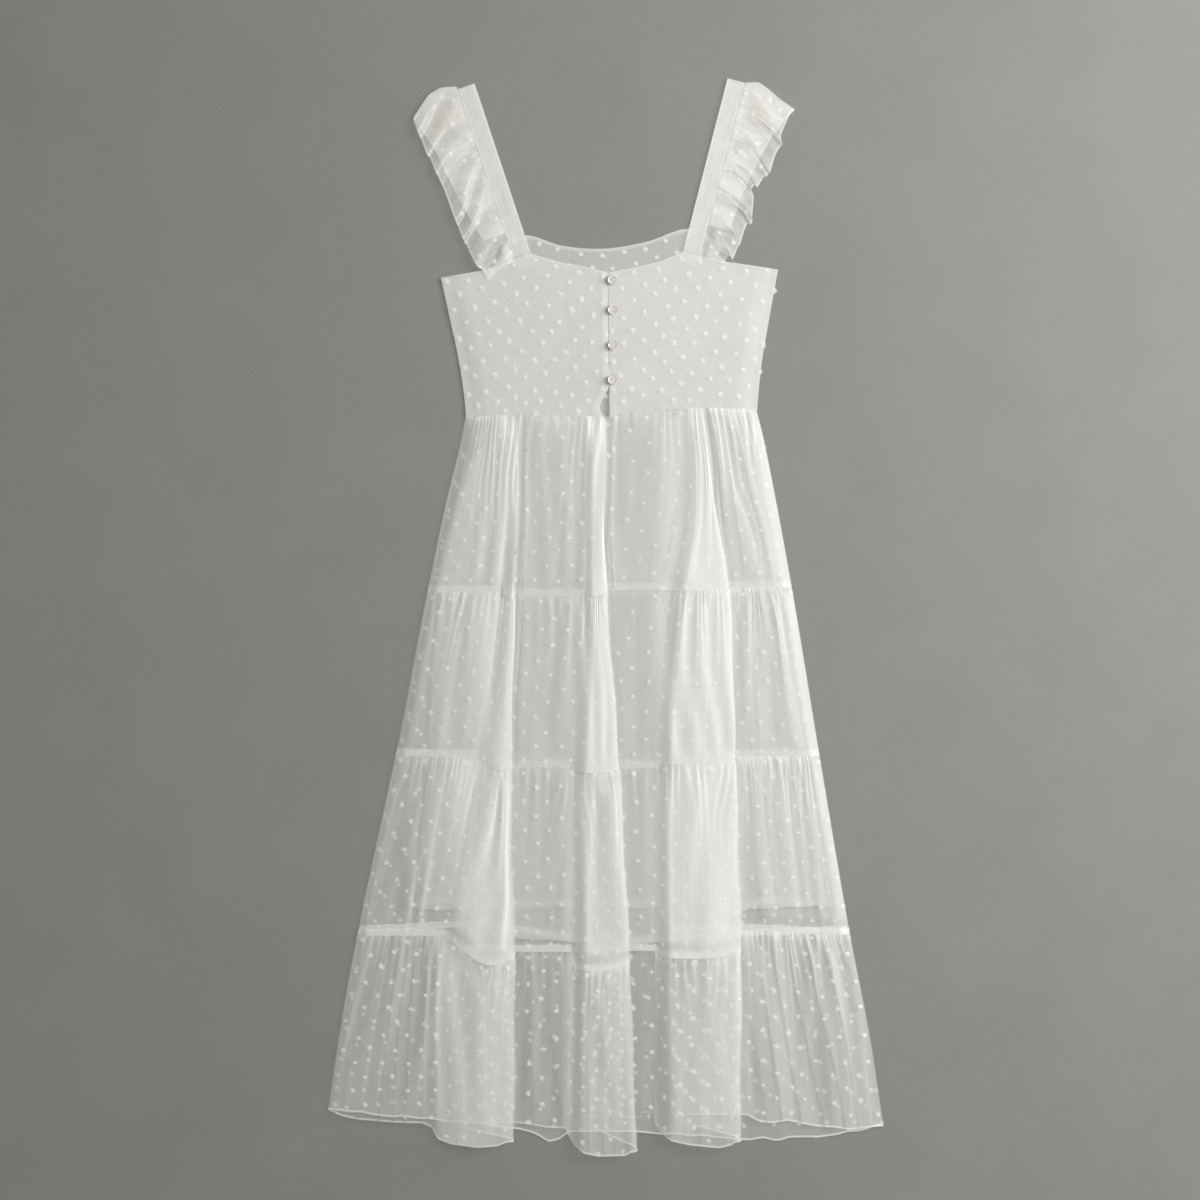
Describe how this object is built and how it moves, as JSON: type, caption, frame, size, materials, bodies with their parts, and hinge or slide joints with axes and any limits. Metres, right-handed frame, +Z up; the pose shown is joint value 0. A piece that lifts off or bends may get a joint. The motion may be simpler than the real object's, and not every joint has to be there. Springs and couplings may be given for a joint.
{
  "type": "tiered midi dress",
  "caption": "White dotted voile midi dress with gathered tiers, flutter straps, a buttoned front and a slip lining, laid flat with its front up.",
  "frame": {"origin": "the middle of the laid-out dress, on the surface that it lies on", "axes": "+Y from the hem to the shoulders, +X towards the wearer's left, +Z up out of the front of the dress"},
  "size_m": [0.6554, 1.2644, 0.0181],
  "materials": {
    "voile": "sheer white dotted voile, soft and matt",
    "lining": "fine plain white lining, slightly smooth",
    "shell": "polished shell",
    "cord": "white thread"
  },
  "bodies": {
    "root": {"bodice_front_right": "voile", "bodice_front_left": "voile", "bodice_back": "voile", "strap_right": "voile", "strap_left": "voile", "ruffle_right": "voile", "ruffle_left": "voile", "skirt_front_tier_1": "voile", "skirt_front_tier_2": "voile", "skirt_front_tier_3": "voile", "skirt_front_tier_4": "voile", "skirt_back_tier_1": "voile", "skirt_back_tier_2": "voile", "skirt_back_tier_3": "voile", "skirt_back_tier_4": "voile", "lining_front": "lining", "lining_back": "lining", "button_1": "shell", "button_2": "shell", "button_3": "shell", "button_4": "shell", "button_loop_1": "cord", "button_loop_2": "cord", "button_loop_3": "cord", "button_loop_4": "cord"}
  },
  "joints": []
}
